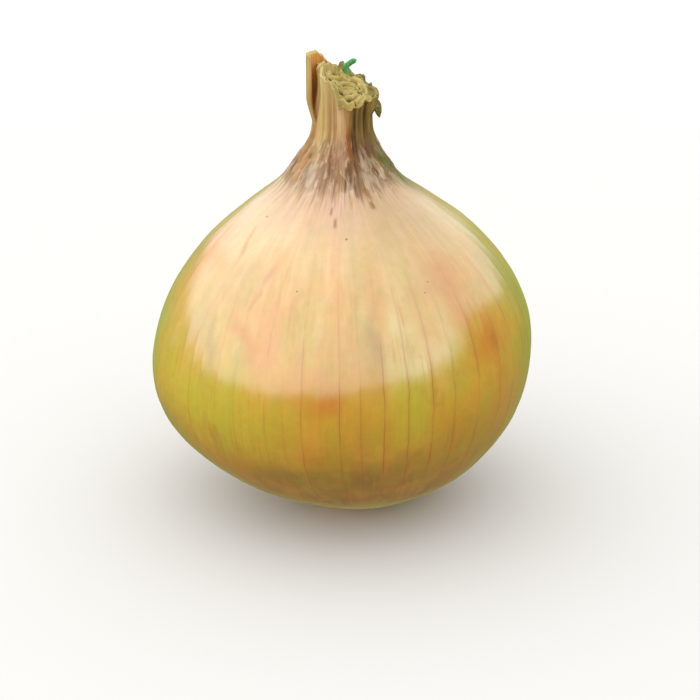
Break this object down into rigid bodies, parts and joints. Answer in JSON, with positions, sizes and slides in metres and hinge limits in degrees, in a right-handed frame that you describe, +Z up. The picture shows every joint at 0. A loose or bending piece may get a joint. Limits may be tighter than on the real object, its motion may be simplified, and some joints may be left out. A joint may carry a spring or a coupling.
{
  "type": "onion",
  "caption": "Large round yellow onion with papery golden skin, a dried cut neck with a peeled sheath, and trimmed roots underneath.",
  "frame": {"origin": "on the surface it rests on, under the middle of the bulb", "axes": "+Z up through the neck, -Y towards the front, where the cut face slopes down to the viewer, and +X to the right; the peeled sheath is on the left"},
  "size_m": [0.1514, 0.1518, 0.1802],
  "materials": {
    "skin": "dry papery skin with a soft gloss, golden with darker veins",
    "roots": "dry and fibrous, matt",
    "shoot": "fresh green leaf, slightly waxy"
  },
  "bodies": {
    "root": {"bulb": "skin", "root_plate": "roots", "green_shoot": "shoot"}
  },
  "joints": []
}
